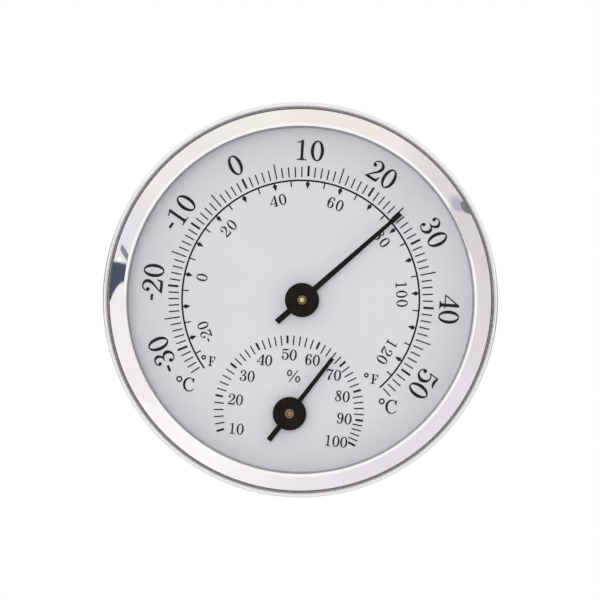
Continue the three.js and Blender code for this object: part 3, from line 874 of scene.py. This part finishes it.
def pointer(movement):
    """A stamped pointer: tail, hub disc, tapered blade and a slightly wider tip."""
    form = POINTERS[movement]
    centre = extent(f"{movement}_arbor")[0]
    _, back, front, _ = extent(f"{movement}_pointer")
    neck, tip, length = form["neck"], form["neck"] + TIP_RISE, form["length"]
    blade = [
        (-form["blade_half"], 0), (form["blade_half"], 0), (form["neck_half"], neck),
        (form["tip_half"], tip), (form["tip_half"], length),
        (-form["tip_half"], length), (-form["tip_half"], tip), (-form["neck_half"], neck),
    ]
    side, end = form["tail_half"], -form["tail"]
    tail = [(-side, end), (side, end), (side, 0), (-side, 0)]
    turn = Matrix.Rotation(-math.radians(form["reading"]), 2)
    placed = [
        [turn @ Vector(p) + Vector(centre) for p in outline]
        for outline in (blade, tail, circle(form["hub"], segments=120))
    ]
    hole = circle(BOSS_RADIUS + HUB_CLEARANCE, centre, 48)
    points, faces = slab(placed, [hole], back, front)
    made = piece(f"{movement}_hand", points, faces, f"{movement}_pointer", "black_paint")
    round_edges(made, POINTER_EDGE)
    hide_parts(f"{movement}_pointer")


def boss(movement):
    """The brass boss, with its flange under the hub, and the arbor's end inside it."""
    _, back, front, _ = extent(f"{movement}_pointer_boss")
    _, pointer_back, _, _ = extent(f"{movement}_pointer")
    flange_back, flange_front = (pointer_back - behind for behind in FLANGE_BEHIND)
    outline = [
        (BOSS_BORE, back), (BOSS_FOOT_RADIUS, back, 0.1), (BOSS_FOOT_RADIUS, flange_back),
        (FLANGE_RADIUS, flange_back, 0.08), (FLANGE_RADIUS, flange_front, 0.08),
        (BOSS_RADIUS, flange_front), (BOSS_RADIUS, front, 0.16), (BOSS_BORE, front, 0.06),
    ]
    body = f"{movement}_pointer"
    centre, arbor_back, arbor_front, radius = extent(f"{movement}_arbor")
    ring = turned(filleted(outline), centre, SMALL_SEGMENTS)
    made = piece(f"{movement}_boss", *ring, body, "brass", BOSS_FINISHES[movement])
    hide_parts(f"{movement}_pointer_boss")

    outline = [(0, arbor_back), (radius, arbor_back, 0.1)]
    outline += [(radius * r, arbor_front - depth) for r, depth in SPINDLE_FORMS[movement]]
    rod = turned(filleted(outline), centre, SMALL_SEGMENTS)
    made = piece(f"{movement}_spindle", *rod, body, "brass", SPINDLE_ENDS[movement])
    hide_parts(f"{movement}_arbor")


# ---------------------------------------------------------------- coils

COIL_TURNS = {"temperature": 5, "humidity": 4}
COIL_THICKNESS = {"temperature": 0.35, "humidity": 0.5}
COIL_SLOTS = {"temperature": "coil_bimetal", "humidity": "coil_hygroscopic"}
COIL_CHAMFER = 0.06
COIL_STEPS_A_TURN = 54
COIL_INNER_RADIUS = 2.3
COIL_OUTER_RADIUS = 10.3
# Where the outer end is, and the share of the strip that closes in on the collet.
COIL_END_ANGLE = 10.0
COLLET_TAKE_UP = 0.06


def coil_section(movement):
    """The strip's section as (distance out from its middle, depth), with its edges broken."""
    _, back, front, _ = extent(f"{movement}_coil")
    half, cut = COIL_THICKNESS[movement] / 2, COIL_CHAMFER
    return [
        (-half, back + cut), (-half + cut, back), (half - cut, back), (half, back + cut),
        (half, front - cut), (half - cut, front), (-half + cut, front), (-half, front - cut),
    ]


def coil(movement):
    """A flat spiral strip from the collet out to the regulator's post. Each point's share of the way
    in is worked out, but nothing uses it."""
    centre = extent(f"{movement}_arbor")[0]
    _, _, _, collet_radius = extent(f"{movement}_collet")
    turns, half = COIL_TURNS[movement], COIL_THICKNESS[movement] / 2
    section = coil_section(movement)
    points, faces, shares = [], [], []
    steps = turns * COIL_STEPS_A_TURN
    for i in range(steps + 1):
        t = i / steps
        radius = COIL_INNER_RADIUS + t * (COIL_OUTER_RADIUS - COIL_INNER_RADIUS)
        grip = max(0.0, 1 - t / COLLET_TAKE_UP)
        radius -= grip**2 * (COIL_INNER_RADIUS - half - collet_radius)
        degrees = COIL_END_ANGLE - (1 - t) * turns * 360
        for across, depth in section:
            place = at_angle(radius + across, degrees, centre)
            points.append((place.x, depth, place.y))
            shares.append(1 - t)
    count = len(section)
    for i in range(steps):
        for k in range(count):
            a, b = i * count + k, i * count + (k + 1) % count
            faces.append([a, b, b + count, a + count])
    faces.append(list(range(count)))
    faces.append([steps * count + k for k in reversed(range(count))])
    made = piece(f"{movement}_spiral", points, faces, None, COIL_SLOTS[movement])
    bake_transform(made)
    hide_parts(f"{movement}_coil")


# ---------------------------------------------------------------- CAD nodes that stay

# Two angles in degrees, then sizes in mm.
SMOOTH_BELOW = 34
FLAT_WITHIN = 0.4
WELD_DISTANCE = 0.0005
EDGE_WIDTH = 0.04
EDGE_WIDTHS = {"rear_case": 0.12, "stand_leg": 0.15}


def smoothing_group():
    """Smooth shading on every face, kept sharp at edges over a set angle."""
    group = bpy.data.node_groups.new("smooth_by_angle", "GeometryNodeTree")
    group.is_modifier = True
    for direction in ("INPUT", "OUTPUT"):
        group.interface.new_socket("Geometry", in_out=direction, socket_type="NodeSocketGeometry")
    start = group.nodes.new("NodeGroupInput")
    faces = group.nodes.new("GeometryNodeSetShadeSmooth")
    edges = group.nodes.new("GeometryNodeSetShadeSmooth")
    edges.domain = "EDGE"
    angle = group.nodes.new("GeometryNodeInputMeshEdgeAngle")
    below = group.nodes.new("FunctionNodeCompare")
    below.data_type, below.operation = "FLOAT", "LESS_EQUAL"
    below.inputs["B"].default_value = math.radians(SMOOTH_BELOW)
    end = group.nodes.new("NodeGroupOutput")
    link = group.links.new
    link(start.outputs[0], faces.inputs["Geometry"])
    link(faces.outputs[0], edges.inputs["Geometry"])
    link(angle.outputs["Unsigned Angle"], below.inputs["A"])
    link(below.outputs[0], edges.inputs["Shade Smooth"])
    link(edges.outputs[0], end.inputs[0])
    return group


def dress_cad_nodes():
    """Finishes, small edge radii and smooth shading on the CAD nodes that are still shown."""
    slot_of = {part["node"]: part["material_slot"] for part in frame["record"]["subparts"]}
    smoothing = smoothing_group()
    for name, node in frame["nodes"].items():
        node.data.materials.clear()
        node.data.materials.append(FINISHES[slot_of[name]])
        if node.hide_render:
            continue
        weld = node.modifiers.new("weld", "WELD")
        weld.merge_threshold = WELD_DISTANCE * MM
        flat = node.modifiers.new("flat", "DECIMATE")
        flat.decimate_type = "DISSOLVE"
        flat.angle_limit = math.radians(FLAT_WITHIN)
        round_edges(node, EDGE_WIDTHS.get(name, EDGE_WIDTH), SMOOTH_BELOW)
        shading = node.modifiers.new("shading", "NODES")
        shading.node_group = smoothing
        even_normals(node)


# ---------------------------------------------------------------- stage, light, camera

CAMERA_DISTANCE = 1500.0
VIEW_WIDTH = 153.1
CAMERA_ROLL = 6.3
CAMERA_OFFSET = (-0.1, -0.05)
SENSOR_WIDTH = 36
FLOOR_DROP = 300.0
FLOOR_RADIUS = 3000
FLOOR_SIDES = 64
KEY_PLACE = (-300, -1900, 120)
KEY_SIZE = 800
KEY_ENERGY = 10.5


def camera():
    data = bpy.data.cameras.new("camera")
    made = bpy.data.objects.new("camera", data)
    bpy.context.scene.collection.objects.link(made)
    _, _, front, _ = extent("bezel_ring")
    data.sensor_width = SENSOR_WIDTH
    data.lens = data.sensor_width * CAMERA_DISTANCE / VIEW_WIDTH
    right, up = CAMERA_OFFSET
    made.location = (right * MM, -(CAMERA_DISTANCE + front) * MM, up * MM)
    level = Matrix.Rotation(math.radians(90), 3, "X")
    made.rotation_euler = (level @ Matrix.Rotation(math.radians(CAMERA_ROLL), 3, "Z")).to_euler()
    bpy.context.scene.camera = made


def floor():
    mesh = bpy.data.meshes.new("floor")
    rim = circle(FLOOR_RADIUS, segments=FLOOR_SIDES)
    corners = [(p.x * MM, p.y * MM, -FLOOR_DROP * MM) for p in rim]
    mesh.from_pydata(corners, [], [range(FLOOR_SIDES - 1, -1, -1)])
    mesh.materials.append(stage_paint())
    made = bpy.data.objects.new("floor", mesh)
    bpy.context.scene.collection.objects.link(made)
    made.visible_glossy = False


def key_light():
    data = bpy.data.lights.new("key", "AREA")
    data.shape, data.size = "DISK", KEY_SIZE * MM
    data.energy = KEY_ENERGY
    made = bpy.data.objects.new("key", data)
    bpy.context.scene.collection.objects.link(made)
    made.location = [place * MM for place in KEY_PLACE]
    made.rotation_euler = (-made.location).to_track_quat("-Z", "Y").to_euler()
    made.visible_glossy = False
    made.visible_camera = False


# The studio that the polished band mirrors, by the angle round the dial as the camera sees it:
# soft panels of slightly different white, at a lean from straight ahead.
PANELS = (
    (0, (0.940, 0.885, 0.840)), (32, (0.895, 0.840, 0.815)), (47, (0.770, 0.735, 0.745)),
    (70, (0.725, 0.690, 0.710)), (92, (0.745, 0.712, 0.725)), (120, (0.815, 0.770, 0.835)),
    (155, (0.800, 0.778, 0.835)), (180, (0.890, 0.838, 0.888)), (208, (1.010, 0.985, 1.010)),
    (243, (1.010, 0.975, 1.000)), (268, (0.925, 0.880, 0.905)), (296, (0.850, 0.830, 0.830)),
    (330, (0.925, 0.880, 0.860)), (360, (0.940, 0.885, 0.840)),
)
PANEL_LEAN = (16.0, 45.0)
PANEL_EDGE = 4.0
# Smaller shapes in it: angle round, angle from straight ahead, half sizes of both, how far the
# second angle shifts the first, how square it is (2 is an ellipse), softness, colour.
SHAPES = (
    (293.0, 32.0, 8.5, 15.0, 0.0, 2, 0.8, (0.825, 0.80, 0.865)),
    (275.7, 32.5, 6.0, 11.5, 0.0, 6, 0.08, (0.070, 0.086, 0.134)),
    (255.0, 23.2, 20.9, 24.4, 0.0, 2, 0.02, (0.940, 0.890, 0.915)),
    (284.6, 29.5, 1.1, 8.0, 0.25, 4, 0.5, (0.25, 0.25, 0.28)),
    (282.9, 28.0, 0.24, 6.5, 0.25, 4, 0.5, (1.0, 1.0, 1.0)),
    (282.5, 35.4, 0.6, 2.6, 0.0, 2, 0.15, (1.25, 1.25, 1.25)),
    (59.6, 33.5, 3.8, 7.5, 0.1, 2, 0.9, (0.48, 0.47, 0.56)),
    (61.0, 39.7, 2.4, 4.1, 0.1, 2, 0.1, (0.20, 0.20, 0.205)),
    (68.6, 24.0, 9.0, 34.0, 0.15, 2, 0.03, (0.725, 0.690, 0.705)),
)
# Straight ahead is the dark camera, which the flat lens mirrors.
CAMERA_SPOT = (2.6, 3.4)
CAMERA_TONE = (0.02, 0.02, 0.02)
# To the sides and behind, the room by height from straight down to straight up: light floor,
# dark band of furniture round the horizon, lit wall, dimmer ceiling. Polished surfaces also see
# it in the gap between the panels and the white fill at the sides.
GAP_LEAN = (41.5, 45.5, 50.0, 56.0)
ROOM_LEAN = (72.0, 98.0)
ROOM_COOLNESS = 1.02
ROOM = (
    (-1.00, 0.66), (-0.60, 0.86), (-0.22, 0.74), (-0.09, 0.46), (0.0, 0.34), (0.09, 0.44),
    (0.24, 0.88), (0.55, 1.00), (0.82, 0.78), (1.0, 0.86),
)
WHITE = (1.0, 1.0, 1.0, 1)


class Studio(Tree):
    """The world's node tree, with a direction given by its lean from straight ahead of the dial
    and its turn round the dial, in degrees."""

    def __init__(self):
        made = bpy.data.worlds.new("studio")
        bpy.context.scene.world = made
        made.use_nodes = True
        self.tree = made.node_tree
        self.tree.nodes.clear()
        direction = self.add("ShaderNodeTexCoord").outputs["Generated"]
        self.axis = self.add("ShaderNodeSeparateXYZ", {0: direction}).outputs
        self.path = self.add("ShaderNodeLightPath").outputs
        degrees = 180 / math.pi
        ahead = self.sums("MULTIPLY", self.axis["Y"], -1.0)
        self.lean = self.sums("MULTIPLY", self.sums("ARCCOSINE", ahead), degrees)
        turn = self.sums("ARCTAN2", self.axis["X"], self.axis["Z"])
        turn = self.sums("ADD", self.sums("MULTIPLY", turn, degrees), CAMERA_ROLL)
        self.turn = self.sums("FLOORED_MODULO", turn, 360.0)

    def sums(self, operation, first, second=0.0):
        return self.add("ShaderNodeMath", {0: first, 1: second}, operation=operation).outputs[0]

    def soft(self, value, start, end):
        values = {"Value": value, "From Min": start, "From Max": end}
        return self.add("ShaderNodeMapRange", values, interpolation_type="SMOOTHSTEP").outputs[0]

    def over(self, factor, below, above):
        values = {0: factor, 6: below, 7: (*above, 1) if isinstance(above, tuple) else above}
        return self.add("ShaderNodeMix", values, data_type="RGBA").outputs[2]

    def panels(self, below):
        """The ring of soft panels that the bezel's band mirrors."""
        tones = [(angle / 360, shade) for angle, shade in PANELS]
        ring = self.ramp(self.sums("DIVIDE", self.turn, 360.0), tones)
        near, far = PANEL_LEAN
        inside = self.soft(self.lean, near - PANEL_EDGE, near + PANEL_EDGE)
        outside = self.soft(self.lean, far + PANEL_EDGE, far - PANEL_EDGE)
        return self.over(self.sums("MULTIPLY", inside, outside), below, ring)

    def room(self, below):
        """The room, to the sides and behind and, to mirrors, in the gap beside the panels."""
        tones = [((z + 1) / 2, (tone, tone, tone * ROOM_COOLNESS)) for z, tone in ROOM]
        height = self.sums("DIVIDE", self.sums("ADD", self.axis["Z"], 1.0), 2.0)
        opens, opened, closes, closed = GAP_LEAN
        gap = self.sums(
            "MULTIPLY", self.soft(self.lean, opens, opened), self.soft(self.lean, closed, closes)
        )
        gap = self.sums("MULTIPLY", gap, self.path["Is Glossy Ray"])
        shown = self.sums("MAXIMUM", self.soft(self.lean, *ROOM_LEAN), gap)
        return self.over(shown, below, self.ramp(height, tones))

    def shape(self, below, middle, ahead, half_turn, half_lean, shift, square, softness, shade):
        off = self.sums("SUBTRACT", self.lean, ahead)
        slid = self.sums("SUBTRACT", self.turn, middle)
        slid = self.sums("SUBTRACT", slid, self.sums("MULTIPLY", off, shift))
        across, along = (
            self.sums("POWER", self.sums("ABSOLUTE", self.sums("DIVIDE", value, half)), square)
            for value, half in ((slid, half_turn), (off, half_lean))
        )
        out = self.sums("ADD", across, along)
        return self.over(self.soft(out, 1.0 + softness, 1.0 - softness), below, shade)

    def shine(self, colour):
        """The colour lights everything, and the camera sees plain white."""
        lit = self.add("ShaderNodeBackground", {"Color": colour, "Strength": 1.0})
        seen = self.add("ShaderNodeBackground", {"Color": WHITE})
        values = {0: self.path["Is Camera Ray"], 1: lit.outputs[0], 2: seen.outputs[0]}
        pick = self.add("ShaderNodeMixShader", values)
        self.add("ShaderNodeOutputWorld", {"Surface": pick.outputs[0]})


def world():
    """White to the camera, and the studio to everything else."""
    studio = Studio()
    colour = studio.panels(studio.room(WHITE))
    for form in SHAPES:
        colour = studio.shape(colour, *form)
    spot = studio.soft(studio.lean, CAMERA_SPOT[1], CAMERA_SPOT[0])
    studio.shine(studio.over(spot, colour, CAMERA_TONE))


# ---------------------------------------------------------------- assembly

camera()
floor()
key_light()
world()
bpy.context.scene.view_settings.view_transform = "Standard"

bezel()
lens()
spacer()
dial()
dial_print()
for movement in MOVEMENTS:
    coil(movement)
    pointer(movement)
    boss(movement)
dress_cad_nodes()
